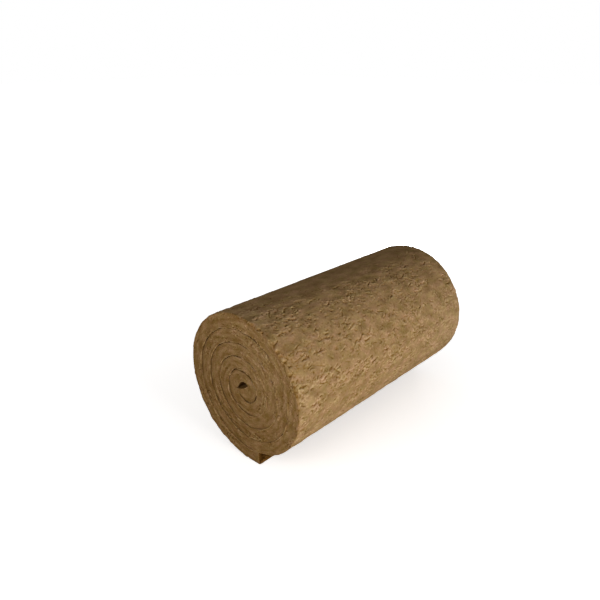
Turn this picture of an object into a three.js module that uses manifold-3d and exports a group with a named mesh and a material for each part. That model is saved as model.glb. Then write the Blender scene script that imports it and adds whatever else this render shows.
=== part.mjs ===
// A roll of stone-wool insulation, lying on its side.
//
// One mat is wound round itself into a plain spiral. Its free end runs under
// the roll and lies flat on the floor, and that foot keeps the roll from turning.
// The turns press on each other, so the roll is one solid. The seam between them
// is a V-shaped groove that follows the spiral on both cut ends. The mat's inner
// end leaves a half-moon gap, which runs through the middle as the bore.
//
// The axis of the roll runs along Y. The origin is on the floor, under the middle
// of the roll. Lengths are in millimetres and angles in radians.

import * as THREE from "three";
import { mergeVertices } from "three/addons/utils/BufferGeometryUtils.js";
import Module from "manifold-3d";

const fullTurn = 2 * Math.PI;

// The mat
const matWidth = 1000; // across the mat, which is the length of the roll
const matThickness = 50; // from one face to the other, which is the pitch of the turns
const turns = 5.25; // how often the mat's outer face goes round, down to the bore
const coreRadius = 36; // from the axis to the inner end of the seam

// The free end, under the roll
const tailReach = 53; // from the axis sideways to the cut end of the mat
const heelLean = THREE.MathUtils.degToRad(5); // from straight down to the other edge of the foot

// The seam between the turns, on the cut ends
const seamMouth = 4; // width of the groove at the face
const seamDepth = 14; // how far in the groove goes
const seamOffset = 1; // from the spiral outwards to the bottom of the groove
const seamOverlap = 4; // how far the groove runs out at the free end and into the bore
const looseMouth = 7; // how much wider the groove is where the core has come loose
const looseCentre = THREE.MathUtils.degToRad(142); // from the inner end of the seam, outwards
const looseSpread = THREE.MathUtils.degToRad(36); // from the middle of the loose place to its ends

// The gap in the middle
const boreLength = 66; // from tip to tip
const boreRise = 16; // from the straight line between the tips to the crown above it
const boreDip = 2; // from the same line to the hollow below it
const boreSkew = 5; // along the same line, from its middle to below the crown
const boreTilt = THREE.MathUtils.degToRad(28); // from level to the same line

// How finely the curves are cut into flats
const outlineStep = THREE.MathUtils.degToRad(3);
const seamStep = THREE.MathUtils.degToRad(5);
const boreDivisions = 8;
const cutMargin = 1; // how far a cutter stands out of the roll

const outerRadius = coreRadius + matThickness * turns;
const tailLean = Math.asin(tailReach / outerRadius); // from straight down to the mat's outer end
const axisHeight = radiusAt(tailLean + heelLean) * Math.cos(heelLean);
const seamStart = woundOverTail(tailReach);
const seamEnd = turns * fullTurn;

// The mat's outer face is an Archimedean spiral. The angle wound counts from the mat's
// outer end: under the roll to the left, over the top and down on the right.
function radiusAt(wound) {
  return outerRadius - (matThickness * wound) / fullTurn;
}

// A point on the spiral, or the offset outside it, with the axis at 0, 0.
function spiralPoint(wound, offset = 0) {
  const angle = tailLean - fullTurn / 4 - wound;
  const radius = radiusAt(wound) + offset;
  return new THREE.Vector2(radius * Math.cos(angle), radius * Math.sin(angle));
}

// The angle wound where the turn above the free end passes a place beside the axis.
function woundOverTail(beside) {
  return fullTurn + tailLean - Math.asin(beside / radiusAt(fullTurn));
}

// The foot, the outer turn down to the free end again, and the mat's square cut end.
function rollSection() {
  const heel = tailLean + heelLean;
  const steps = Math.ceil((seamStart - heel) / outlineStep);
  const outline = [new THREE.Vector2(tailReach, -axisHeight)];
  for (let i = 0; i <= steps; i++) {
    outline.push(spiralPoint(heel + ((seamStart - heel) * i) / steps));
  }
  return new THREE.Shape(outline);
}

// A half-moon with one tip over the inner end of the seam.
function boreSection() {
  const along = new THREE.Vector2(Math.cos(boreTilt), Math.sin(boreTilt));
  const across = new THREE.Vector2(-along.y, along.x);
  const start = spiralPoint(seamEnd).addScaledVector(along, -seamOverlap);
  const end = start.clone().addScaledVector(along, boreLength);
  const middle = start.clone().lerp(end, 0.5);
  // A quadratic curve goes half as far from the middle as its control point.
  const crown = middle.clone().addScaledVector(across, 2 * boreRise);
  crown.addScaledVector(along, 2 * boreSkew);
  const hollow = middle.clone().addScaledVector(across, -2 * boreDip);
  return new THREE.Shape()
    .moveTo(start.x, start.y)
    .quadraticCurveTo(hollow.x, hollow.y, end.x, end.y)
    .quadraticCurveTo(crown.x, crown.y, start.x, start.y);
}

// A section run along the roll, with its middle on the middle of the roll.
function alongRoll(section, length) {
  const geometry = new THREE.ExtrudeGeometry(section, {
    depth: length,
    bevelEnabled: false,
    curveSegments: boreDivisions,
  });
  return geometry.translate(0, 0, -length / 2).rotateX(fullTurn / 4);
}

// How wide the groove is at the face.
function mouthAt(wound) {
  const away = Math.min(Math.abs(seamEnd - wound - looseCentre) / looseSpread, 1);
  return seamMouth + looseMouth * Math.cos((away * fullTurn) / 4) ** 2;
}

// The V-shaped cutter for the seam on one end of the roll: side is -1 for the near end
// and 1 for the far end. Each station has two corners at the mouth and one at the bottom.
function seamCutter(side) {
  const first = woundOverTail(tailReach + seamOverlap);
  const steps = Math.ceil((seamEnd - first) / seamStep);
  const mouthY = side * (matWidth / 2 + cutMargin);
  const bottomY = side * (matWidth / 2 - seamDepth);
  const positions = [];
  const indices = [];
  for (let i = 0; i <= steps; i++) {
    const wound = first + ((seamEnd - first) * i) / steps;
    const half = (mouthAt(wound) / 2) * (1 + cutMargin / seamDepth);
    const outer = spiralPoint(wound, seamOffset + half);
    const inner = spiralPoint(wound, seamOffset - half);
    const bottom = spiralPoint(wound, seamOffset);
    positions.push(outer.x, mouthY, outer.y);
    positions.push(inner.x, mouthY, inner.y);
    positions.push(bottom.x, bottomY, bottom.y);
  }
  const facet = (a, b, c) => indices.push(...(side < 0 ? [a, b, c] : [a, c, b]));
  for (let i = 0; i < steps; i++) {
    for (let corner = 0; corner < 3; corner++) {
      const a = 3 * i + corner;
      const b = 3 * i + ((corner + 1) % 3);
      facet(a, b, b + 3);
      facet(a, b + 3, a + 3);
    }
  }
  facet(0, 2, 1);
  facet(3 * steps, 3 * steps + 1, 3 * steps + 2);
  const geometry = new THREE.BufferGeometry();
  geometry.setAttribute("position", new THREE.Float32BufferAttribute(positions, 3));
  geometry.setIndex(indices);
  return geometry;
}

const wasm = await Module();
wasm.setup();

function toSolid(geometry) {
  const bare = geometry.clone();
  bare.deleteAttribute("normal");
  bare.deleteAttribute("uv");
  const welded = mergeVertices(bare, 1e-4);
  const mesh = new wasm.Mesh({
    numProp: 3,
    vertProperties: new Float32Array(welded.attributes.position.array),
    triVerts: new Uint32Array(welded.index.array),
  });
  return new wasm.Manifold(mesh);
}

function toGeometry(solid) {
  const mesh = solid.getMesh();
  const geometry = new THREE.BufferGeometry();
  geometry.setAttribute("position", new THREE.Float32BufferAttribute(mesh.vertProperties, 3));
  geometry.setIndex(Array.from(mesh.triVerts));
  return geometry;
}

const roll = toSolid(alongRoll(rollSection(), matWidth))
  .subtract(toSolid(alongRoll(boreSection(), matWidth + 2 * cutMargin)))
  .subtract(toSolid(seamCutter(-1)))
  .subtract(toSolid(seamCutter(1)));

const matGeometry = toGeometry(roll);
matGeometry.computeBoundingBox();
const middleX = (matGeometry.boundingBox.min.x + matGeometry.boundingBox.max.x) / 2;
matGeometry.translate(-middleX, 0, axisHeight);
const flatGeometry = matGeometry.toNonIndexed();
flatGeometry.computeVertexNormals();

const stoneWool = new THREE.MeshStandardMaterial({
  name: "stone_wool",
  color: 0x8a6f47,
  roughness: 0.95,
  metalness: 0,
});

const woolMat = new THREE.Mesh(flatGeometry, stoneWool);
woolMat.name = "wool_mat";

const insulationRoll = new THREE.Group();
insulationRoll.name = "insulation_roll";
insulationRoll.add(woolMat);

export default insulationRoll;
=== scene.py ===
# %% [markdown]
# A roll of stone-wool insulation
#
# The object is one thick mat of brown mineral fibre, wound up and laid on its side with
# its free end underneath. There is no core, band or cover, so everything that shows is
# wool: the bark-like outer face of the outer turn, and the two cut ends, where the turns
# lie against each other like the rings of a tree.
#
# The solid model is loaded first. It settles every size, and nothing here moves it: the
# wool is modelled round the same spiral, and then stands for the plain solid.

import itertools

import bpy
import numpy as np
from mathutils import Matrix, Vector


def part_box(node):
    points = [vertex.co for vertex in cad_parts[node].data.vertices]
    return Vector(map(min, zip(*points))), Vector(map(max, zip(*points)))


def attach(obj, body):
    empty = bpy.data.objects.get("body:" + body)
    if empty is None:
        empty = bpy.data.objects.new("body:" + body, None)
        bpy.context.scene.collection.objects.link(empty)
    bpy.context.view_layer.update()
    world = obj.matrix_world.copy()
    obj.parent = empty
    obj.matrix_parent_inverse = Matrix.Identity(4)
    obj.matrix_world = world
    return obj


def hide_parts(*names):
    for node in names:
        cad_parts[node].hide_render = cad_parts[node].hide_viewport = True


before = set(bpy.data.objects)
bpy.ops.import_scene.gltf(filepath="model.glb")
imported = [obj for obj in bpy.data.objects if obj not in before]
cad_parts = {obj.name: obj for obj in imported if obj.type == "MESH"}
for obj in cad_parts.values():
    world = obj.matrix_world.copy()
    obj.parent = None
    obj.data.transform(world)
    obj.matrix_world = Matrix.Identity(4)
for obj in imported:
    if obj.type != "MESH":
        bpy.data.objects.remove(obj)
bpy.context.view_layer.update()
mat_low, mat_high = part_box("wool_mat")
print("the solid measures", [round(1000 * side) for side in mat_high - mat_low], "mm")


def span(values):
    """The smallest and the largest of some lengths, as words."""
    return f"{1000 * np.min(values):.1f} to {1000 * np.max(values):.1f} mm"


# %% [markdown]
# The mat's sizes
#
# The mat's outer face is an Archimedean spiral: with each turn it comes nearer to the
# axis by the thickness of the mat. These are the sizes that the solid was drawn with, in
# metres, and the place of the axis follows from them and from the solid's own box. Only
# the gap in the middle is a few millimetres rounder than the solid's, because felted wool
# rounds it off. Every point of the mat then has an address of three numbers: the length
# of mat from its free end, the depth under its outer face, and the place across it.

# %% The mat's sizes
FULL_TURN = 2 * np.pi
MAT_THICKNESS = 0.050
TURNS = 5.25
CORE_RADIUS = 0.036  # from the axis to the inner end of the spiral
TAIL_REACH = 0.053  # from the axis sideways to the free end
HEEL_LEAN = np.radians(5)  # from straight down to the other edge of the foot
BORE_LENGTH = 0.064  # from tip to tip
BORE_RISE = 0.017  # from the straight line between the tips to the crown above it
BORE_DIP = 0.0055  # from the same line to the hollow below it
BORE_SKEW = 0.007  # along the same line, from its middle to below the crown
BORE_TILT = np.radians(28)  # from level to the same line
BORE_OVERLAP = 0.004  # how far the gap reaches over the inner end of the spiral
ONCE_ROUND = np.linspace(0, FULL_TURN, 2000)

ROLL_HALF = (mat_high.y - mat_low.y) / 2
OUTER_RADIUS = CORE_RADIUS + MAT_THICKNESS * TURNS
TAIL_LEAN = np.arcsin(TAIL_REACH / OUTER_RADIUS)
WOUND_END = TURNS * FULL_TURN


def radius_at(wound):
    """The outer radius, less one thickness for each whole turn wound inwards."""
    return OUTER_RADIUS - MAT_THICKNESS * wound / FULL_TURN


AXIS_HEIGHT = radius_at(TAIL_LEAN + HEEL_LEAN) * np.cos(HEEL_LEAN)


def direction(wound):
    """The angle at which a place lies, seen from the near end: it starts at the free end,
    a little right of straight down, and runs clockwise."""
    return TAIL_LEAN - FULL_TURN / 4 - wound


def towards(wound, degrees):
    """How far a place lies in the direction that is so many degrees up from the right: the
    cosine of the angle between them, 1 there, 0 a quarter turn away and -1 opposite."""
    return np.cos(direction(wound) - np.radians(degrees))


def spiral(wound):
    """Across and up from the axis: the radius times the direction's cosine and sine."""
    angle = direction(wound)
    return radius_at(wound)[..., None] * np.stack([np.cos(angle), np.sin(angle)], axis=-1)


left_edge = spiral(ONCE_ROUND)[:, 0].min()
AXIS = np.array([mat_low.x - left_edge, AXIS_HEIGHT])
print("the axis is", np.round(1000 * AXIS, 1), "mm across and up")

# %% [markdown]
# The gap in the middle
#
# The inner end of the mat can't be bent into a tight coil. It folds over and leaves a
# half-moon gap, which the last turn closes round. So the last turn's inner face isn't the
# spiral: it goes once round the half-moon, over the crown and back along the hollow.


# %% The half-moon and the mat's inner face
def bend(start, middle, end, share):
    """A quadratic curve: the start, twice the middle and the end, weighted by the squares
    and the product of the share and the rest."""
    share = share[..., None]
    return (1 - share) ** 2 * start + 2 * share * (1 - share) * middle + share ** 2 * end


BORE_ALONG = np.array([np.cos(BORE_TILT), np.sin(BORE_TILT)])
BORE_ACROSS = np.array([-BORE_ALONG[1], BORE_ALONG[0]])
bore_start = spiral(np.array(WOUND_END)) - BORE_OVERLAP * BORE_ALONG
bore_end = bore_start + BORE_LENGTH * BORE_ALONG
bore_middle = (bore_start + bore_end) / 2


def half_moon(share):
    """Once round the gap: a curve over the crown for the first half of the share, and a
    flatter one back along the hollow for the second half."""
    above = bore_middle + 2 * BORE_RISE * BORE_ACROSS + 2 * BORE_SKEW * BORE_ALONG
    crown = bend(bore_start, above, bore_end, np.clip(2 * share, 0, 1))
    hollow = bend(bore_end, bore_middle - 2 * BORE_DIP * BORE_ACROSS, bore_start,
                  np.clip(2 * share - 1, 0, 1))
    return np.where(share[..., None] < 0.5, crown, hollow)


gap_low, gap_high = (edge(half_moon(ONCE_ROUND / FULL_TURN), axis=0) for edge in (np.min, np.max))
print("the gap is", np.round(1000 * (gap_high - gap_low), 1), "mm across and up")


# %% The mat's two faces
def inner_face(wound):
    """One turn further in on the spiral. Over the flat foot the point straight above is
    taken, so that the mat's cut end stands upright, and the last turn follows the gap."""
    beside = np.clip(spiral(wound)[..., 0], 0, TAIL_REACH)
    above = FULL_TURN + TAIL_LEAN - np.arcsin(beside / radius_at(FULL_TURN))
    further_in = np.where(wound < TAIL_LEAN, above, wound + FULL_TURN)
    last_turn = wound - (WOUND_END - FULL_TURN)
    on_spiral = spiral(np.minimum(further_in, WOUND_END))
    return np.where(last_turn[..., None] > 0, half_moon(last_turn / FULL_TURN), on_spiral)


def outer_face(wound):
    """The spiral, pressed flat where it would go through the floor."""
    point = spiral(wound)
    point[..., 1] = np.maximum(point[..., 1], -AXIS_HEIGHT)
    return point


def length_wound(wound):
    """The length of mat from its free end: the outer radius times the angle, less half a
    thickness for each turn times the angle."""
    return OUTER_RADIUS * wound - MAT_THICKNESS * wound ** 2 / (2 * FULL_TURN)


print("length of the mat along its outer face:", round(float(length_wound(WOUND_END)), 2), "m")

# %% [markdown]
# Noise for the relief
#
# Wool has no two places alike, so its relief is worked out from noise: smooth random
# hills, the same on every run. Finer and weaker copies added together give the uneven
# look of natural things. It is computed for whole arrays of points at once, and it is
# asked at the mat's address and not at the place in the room, so that the grain of the
# fibres follows the turns.

# %% Noise helpers
HILL_SLOPES = np.array([[1, 1, 0], [-1, 1, 0], [1, -1, 0], [-1, -1, 0],
                        [1, 0, 1], [-1, 0, 1], [1, 0, -1], [-1, 0, -1],
                        [0, 1, 1], [0, -1, 1], [0, 1, -1], [0, -1, -1],
                        [1, 1, 0], [-1, 1, 0], [0, -1, 1], [0, -1, -1]], float)
OCTAVE_SHIFT = 17.3  # so that the grid points of two octaves don't lie on each other


def scrambled(cells, seed):
    """A whole number from 0 to 15 for each grid point: its three numbers are multiplied by
    large odd ones and mixed, and the high bits are folded into the low ones."""
    x, y, z = (cells[..., k].astype(np.uint32) for k in range(3))
    mixed = (x * np.uint32(0x8DA6B343)) ^ (y * np.uint32(0xD8163841)) ^ (z * np.uint32(0xCB1AB31F))
    mixed = mixed ^ np.uint32(seed * 0x165667B1 & 0xFFFFFFFF)
    mixed = (mixed ^ (mixed >> np.uint32(15))) * np.uint32(0x2C1B3C6D)
    mixed = (mixed ^ (mixed >> np.uint32(12))) * np.uint32(0x297A2D39)
    return (mixed ^ (mixed >> np.uint32(15))) & np.uint32(15)


def hills(points, seed):
    """Gradient noise, about -1 to 1: each grid point has a random slope, and a place takes the
    heights of its cell's eight slopes, blended into each other."""
    cells = np.floor(points).astype(np.int64)
    inside = points - cells
    fade = inside ** 3 * (inside * (inside * 6 - 15) + 10)
    total = np.zeros(points.shape[:-1])
    for corner in itertools.product((0, 1), repeat=3):
        slopes = HILL_SLOPES[scrambled(cells + corner, seed)]
        weight = np.prod(np.where(corner, fade, 1 - fade), axis=-1)
        total += weight * np.sum(slopes * (inside - corner), axis=-1)
    return total


def rough(points, seed, octaves):
    """Octaves of hills, each twice as fine as the one before and half as high."""
    total = np.zeros(points.shape[:-1])
    for octave in range(octaves):
        total += 0.5 ** octave * hills(points * 2 ** octave + OCTAVE_SHIFT * octave, seed + octave)
    return total


def noise_at(length, depth, across, seed, octaves):
    """Rough noise at addresses, whose three numbers are spread out to one common shape. Each
    comes multiplied by how many hills there are to a metre along it."""
    where = np.stack(np.broadcast_arrays(length, depth, across), axis=-1).astype(float)
    return rough(where, seed, octaves)


sample = noise_at(9 * ONCE_ROUND, 0.5, 0.5, seed=1, octaves=3)
print("a sample of the noise runs from", sample.min().round(2), "to", sample.max().round(2))

# %% [markdown]
# Small shapes laid on a grid
#
# Rolling stretches the mat's outer face, and the felted skin splits into short cracks
# that run along the roll, with one lip of each lifted a little. On the cut ends the saw
# pulls out strands along the layers. Both are one small shape, repeated thousands of
# times on a grid of heights at random places, turns and sizes. Each shape touches only
# the grid points round it, so many are worked out together as one block of small windows,
# and the block is then added into the grid.

# %% Small shapes added into a grid of heights
SHAPES_AT_ONCE = 2000


def stamped(first, second, centre, turn, window, warp, shape, sizes):
    """Heights on the grid of first by second. Round each centre, the distances along and
    beside the shape's own direction are the grid's distances, shifted by the warp and
    turned, and the shape gives the height that is added for them."""
    heights = np.zeros(len(first) * len(second))
    span_first, span_second = (np.arange(-reach, reach + 1) for reach in window)
    for part in np.array_split(np.arange(len(centre)), 1 + len(centre) // SHAPES_AT_ONCE):
        place_first, place_second = centre[part, 0, None, None], centre[part, 1, None, None]
        i = np.searchsorted(first, place_first) + span_first[:, None]
        j = np.searchsorted(second, place_second) + span_second
        i, j = np.broadcast_arrays(i, j)
        on_grid = (i >= 0) & (i < len(first)) & (j >= 0) & (j < len(second))
        i, j = np.clip(i, 0, len(first) - 1), np.clip(j, 0, len(second) - 1)
        away_first = first[i] - place_first + warp[0][i, j]
        away_second = second[j] - place_second + warp[1][i, j]
        cosine, sine = np.cos(turn[part])[:, None, None], np.sin(turn[part])[:, None, None]
        along = away_second * cosine + away_first * sine
        beside = away_first * cosine - away_second * sine
        added = shape(along, beside, *(size[part, None, None] for size in sizes))
        where = (i * len(second) + j)[on_grid]
        heights += np.bincount(where, added[on_grid], minlength=len(heights))
    return heights.reshape(len(first), len(second))


def sizes_near(middle, spread, count, rng):
    """Random sizes, as many above the middle one as below, in equal proportions."""
    return middle * np.exp(rng.normal(0, spread, count))


# %% One crack and one furrow
SHARPNESS = 0.0006  # how gently a lip rises beside its crack
TIP_FADE = 0.6
LARGEST_POWER = 30  # of e, so that no number gets too large to hold


def lifted_lip(along, beside, length, lift, ramp, dip, gap, curl):
    """A crack with one lip lifted. The lip rises at once beside the crack and slopes away
    over the ramp, and a bell-shaped dip lies on the crack's other side. Both fade to the
    tips, as a power of one minus the square of the share of the half length. The crack is
    a bow, drawn to one side by the curl times that square."""
    share = along / (length / 2)
    beside = beside - curl * share ** 2
    fade = np.clip(1 - share ** 2, 0, None) ** TIP_FADE
    rise = 1 / (1 + np.exp(np.clip(-beside / SHARPNESS, -LARGEST_POWER, LARGEST_POWER)))
    raised = lift * rise * np.exp(-np.clip(beside, 0, None) / ramp)
    return fade * (raised - dip * np.exp(-((beside + gap) / gap) ** 2))


def furrow(along, beside, length, dip, width):
    """A bell curve downwards, drawn out along its direction and fading to its tips."""
    fade = np.clip(1 - (along / (length / 2)) ** 2, 0, None)
    return -dip * fade * np.exp(-(beside / width) ** 2)


across_a_crack = lifted_lip(0, np.linspace(-0.01, 0.01, 99), length=0.02, lift=0.0014,
                            ramp=0.004, dip=0.0022, gap=0.0019, curl=0)
print("one crack's heights are", span(across_a_crack))


# %% Smoothing
def smoothed(heights, reach):
    """A running mean along both directions of a grid, with bell-shaped weights. The reach
    is a number of grid points."""
    offsets = np.arange(-2 * reach, 2 * reach + 1)
    weights = np.exp(-(offsets / reach) ** 2)
    weights /= weights.sum()
    for axis in (0, 1):
        edges = [(2 * reach, 2 * reach) if axis == side else (0, 0) for side in (0, 1)]
        padded = np.pad(heights, edges, mode="edge")
        kept = np.arange(heights.shape[axis])
        heights = sum(weight * np.take(padded, kept + k, axis=axis)
                      for k, weight in enumerate(weights))
    return heights


spike = np.zeros((9, 9))
spike[4, 4] = 0.001
print("a spike of 1 mm in a flat grid is smoothed to", span(smoothed(spike, reach=1)))

# %% [markdown]
# The mat's section
#
# A slab is a profile carried along a path. Here the profile is the mat's section, a flat
# rectangle with rounded corners, 50 mm by 1 m, and the path is the spiral. The profile's
# points aren't evenly spread. They are dense on the two cut edges, most of all beside the
# seams, and on the outer turn's outer face, because those show. On faces that press
# against the next turn there are only a few, where one can look into the seam.

# %% The section's points
CORNER = 0.0012  # the radius of a freshly cut corner
RIM_CORNER = 0.0090  # the largest radius of the roll's rims
CORNER_ARC = np.radians([15, 45, 75])
EDGE_POINTS = 25
CROWDED = 0.75  # how much more densely they lie towards the seams
# Where hidden faces have points: so far in from the roll's ends.
SEAM_VIEW = ROLL_HALF - np.array([0.003, 0.0075, 0.013, 0.022, 0.045, 0.11])

even = np.linspace(0, 1, EDGE_POINTS)
EDGE_SHARE = (1 - CROWDED) * even + CROWDED * (0.5 - 0.5 * np.cos(np.pi * even))


def section(face_across, back_across):
    """Once round the section: the near edge from the inner face to the outer one, the
    outer face from near to far, the far edge, and the inner face from far to near. Each
    point has a share of the thickness, a share of the corner's radius that is added to
    it, the same two for its place across the mat, and the direction that is outwards."""
    share = EDGE_SHARE[::-1]
    none = np.zeros(EDGE_POINTS)
    edge = np.stack([share, 1 - 2 * share, none - 1, none, none, none - 1], 1)
    bent = np.stack([np.zeros(3), 1 - np.sin(CORNER_ARC), np.full(3, -1.0),
                     1 - np.cos(CORNER_ARC), -np.sin(CORNER_ARC), -np.cos(CORNER_ARC)], 1)
    flip_depth = np.array([1, -1, 1, 1, -1, 1])
    inner_bend = (bent * flip_depth + np.array([1, 0, 0, 0, 0, 0]))[::-1]

    def face(across, depth):
        """A row of points over one of the mat's two faces, with that face's way outwards."""
        rows = np.zeros((len(across), 6))
        rows[:, 0] = depth
        rows[:, 2] = across / ROLL_HALF
        rows[:, 4] = 2 * depth - 1
        return rows

    to_far = np.array([1, 1, -1, -1, 1, -1])
    half_edge = np.concatenate([inner_bend, edge, bent])
    far_edge = (half_edge * to_far)[::-1]
    loop = np.concatenate([half_edge, face(face_across, 0), far_edge, face(back_across, 1)])
    counts = [len(half_edge), len(face_across), len(far_edge), len(back_across)]
    numbers = np.split(np.arange(len(loop)), np.cumsum(counts)[:-1])
    return loop, dict(zip(("near", "face", "far", "back"), numbers))


inner_across = np.concatenate([-SEAM_VIEW, SEAM_VIEW[::-1]])
inner_loop, inner_names = section(inner_across, inner_across[::-1])
near_edge = inner_loop[inner_names["near"]][::-1]
EDGE_DEPTH = MAT_THICKNESS * near_edge[:, 0] + CORNER * near_edge[:, 1]
print("the thickness has", len(EDGE_DEPTH), "points,", span(np.diff(EDGE_DEPTH)), "apart")

# %% [markdown]
# Where the turns come loose and the rim is worn
#
# No mat is wound quite evenly. Its turns sag away from each other at the top of the roll, the stiff
# mat springs open at the core, and handling chews one rim, which also gets painted shade. Each of
# these is a smooth function of the angle wound. The faces on both sides of a seam ask the same
# function, so the gap between them opens and closes gently and never crosses over.

# %% Where the turns have come loose
SEAM = 0.0002
SAG, SAG_TOWARDS = 0.0019, 73
WANDER = 0.0032
WANDER_FROM = np.radians(20)
FINE_STEPS = 4000

# Where the turns have sprung apart: three places of the core, and one on the lower right of
# the outermost seam. Each has its middle and half its width, as angles wound, and how far
# each of the two faces draws back there.
SPRUNG = (
    (WOUND_END - np.radians(150), np.radians(42), 0.0022),
    (WOUND_END - np.radians(96), np.radians(30), 0.0014),
    (WOUND_END - np.radians(236), np.radians(84), 0.0023),
    (np.radians(670), np.radians(36), 0.0012),
)

# Where the outer turn swells: the same two angles.
ROUND = np.radians([185, 150])
TOP = np.radians([160, 75])


def bump(wound, middle, spread):
    """A smooth hill, one at the middle and none beyond the spread: a cosine squared."""
    away = np.clip(np.abs(wound - middle) / spread, 0, 1)
    return np.cos(away * FULL_TURN / 4) ** 2


def seam_gap(wound):
    """How far each face draws back from the spiral: a little everywhere, more where noise
    says so and at the top, where the turns sag away from each other, and most where the
    stiff mat has sprung open."""
    noise = noise_at(length_wound(wound) * 9, 0, 0, seed=3, octaves=3)
    loose = 0.0007 * np.clip(noise - 0.05, 0, 1)
    loose = loose + SAG * np.clip(towards(wound, SAG_TOWARDS), 0, 1)
    for middle, spread, most in SPRUNG:
        loose = loose + most * bump(wound, middle, spread)
    return SEAM + loose


def seam_wander(wound):
    """How far the mat's outer face wanders inwards off the spiral, by noise along the mat,
    which moves the seams. Near the free end and at the mat's inner end it stays on the
    spiral. The outer turn swells outwards instead, most at the top."""
    noise = noise_at(length_wound(wound) * 24, 0, 0, seed=4, octaves=2)
    from_foot = np.clip((wound - FULL_TURN - WANDER_FROM) / WANDER_FROM, 0, 1)
    from_core = np.clip((WOUND_END - wound) / WANDER_FROM, 0, 1)
    swell = 0.0016 * bump(wound, *ROUND) ** 0.3 + 0.0022 * bump(wound, *TOP)
    return WANDER * noise * from_foot * from_core - swell


seam_widths = 2 * seam_gap(np.linspace(FULL_TURN, WOUND_END, FINE_STEPS))
print("the seams gape by", span(seam_widths))

# %% How the near rim is worn, and its painted shade
CHEWED_TOWARDS = 48
BITE_DEPTH, BITE_REACH = 0.0085, 0.009
# Painted shade on the near rim: how dark it is, how far it reaches, and where it is most.
RIM_PAINTED_SHADE, RIM_PAINTED_SHADE_REACH, RIM_PAINTED_SHADE_TOWARDS = 0.20, 0.014, 60


def chewed(wound):
    """How worn the near rim is: from not at all to fully, on the upper right."""
    return np.clip(towards(wound, CHEWED_TOWARDS), 0, 1) ** 3


def rim_corner(wound, near):
    """The radius of the outer turn's two rims, 1.4 to about 4 mm, and up to 9 mm on the near
    one's upper right, where it is chewed. Inside the roll it is that of a fresh cut."""
    noise = noise_at(length_wound(wound) * 26, 0, 0, seed=6, octaves=3)
    worn = 0.0022 + 0.0016 * noise + (0.0038 + 0.0070 * noise) * chewed(wound) * near
    return np.where(wound < FULL_TURN, np.clip(worn, 0.0014, RIM_CORNER), CORNER)


def rim_bites(length, wound, from_rim):
    """Dents in the near rim where it is chewed. The same noise is asked on both sides of
    the rim, so a dent in the end goes on in the outer face. Each side fades exponentially."""
    bites = np.clip(noise_at(length * 42, from_rim * 42, 0, seed=8, octaves=3), -0.25, 0.6)
    depth = BITE_DEPTH * bites * chewed(wound) * (wound < FULL_TURN)
    return -depth * np.exp(-from_rim / BITE_REACH)


def rim_painted_shade(wound, from_rim):
    """Painted shade on the near rim, which dulls the light that its rounded corner catches: it
    fades exponentially away from the rim, and there is least of it underneath."""
    around = 0.55 + 0.45 * towards(wound, RIM_PAINTED_SHADE_TOWARDS)
    return RIM_PAINTED_SHADE * around * (wound < FULL_TURN) * np.exp(-from_rim / RIM_PAINTED_SHADE_REACH)


print("the near rim's radius is", span(rim_corner(ONCE_ROUND[:-1], 1)))

# %% [markdown]
# Stations along the spiral
#
# The section is set up again and again along the spiral, 2 to 3 mm apart. The outer turn
# is modelled as three pieces and the inner turns as two, so that none has too many
# triangles. A piece starts on the very station where the last one ended, and the relief
# is worked out for the whole mat at once, so the pieces meet without a mark.

# %% Stations
STEP = 0.0026
HIDDEN_LAP = np.radians(10)  # how far the outer turn's pieces run on inside the roll
LAP_END = FULL_TURN + HIDDEN_LAP
# Where the pieces end, so that those of one kind have about as many triangles each.
OUTER_SPLITS = np.array([0, 0.287, 0.636, 1]) * LAP_END
INNER_SPLITS = np.array([LAP_END, 2.45 * FULL_TURN, WOUND_END])


def stations(wound_from, wound_to):
    """Angles wound whose places along the mat are about one step apart."""
    start, end = length_wound(wound_from), length_wound(wound_to)
    fine = np.linspace(wound_from, wound_to, FINE_STEPS)
    lengths = np.linspace(start, end, 1 + int((end - start) / STEP))
    return np.interp(lengths, length_wound(fine), fine)


splits = np.concatenate([OUTER_SPLITS, INNER_SPLITS[1:]])
runs = [stations(a, b) for a, b in zip(splits[:-1], splits[1:])]
all_wound = np.concatenate([run[:-1] for run in runs] + [runs[-1][-1:]])
all_length = length_wound(all_wound)
piece_ends = np.concatenate([[0], np.cumsum([len(run) - 1 for run in runs])])
print("stations:", len(all_wound), "and the pieces end at", piece_ends)

# %% [markdown]
# The relief of the cut ends
#
# The ends were sawn before the mat was rolled. Rolling squeezes the inner side of each
# turn, so it bulges out of the end, and stretches the outer side, which draws in. So at
# each seam there is a step, and it is what makes the spiral show. Besides, layers of fibre
# follow the turns as fine streaks, a firm skin stands proud at the step, strands were torn
# out here and there, and each turn stands a little further in or out than its neighbours.

# %% Steps, waves and layers of the cut ends
END_APART = 40  # the two ends take their noise this far apart
STEP_RAMP = np.radians(25)  # over which the step grows, from the free end's turn inwards
RIM_STEP = 0.12  # the share of the step that the roll's rim has
STEPPED_TOWARDS = 212
STEP_FADE = 0.0065
SKIN_DEPTH, SKIN_WIDTH = 0.0015, 0.0012


def seam_step(wound, depth, side):
    """How far the outer side of a turn lies back at a seam, most on the lower left and least
    on the upper right: a height that fades with depth by an exponential. The roll's rim has
    hardly any step."""
    noise = noise_at(length_wound(wound) * 7, 0, side * END_APART, seed=26, octaves=2)
    uneven = np.clip(0.8 + noise, 0.1, 1.4)
    stepped = np.clip((wound - FULL_TURN) / STEP_RAMP, RIM_STEP, 1)
    height = 0.0007 + 0.0043 * np.clip(towards(wound, STEPPED_TOWARDS), 0, 1)
    return -height * stepped * uneven * np.exp(-depth / STEP_FADE)


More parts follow.
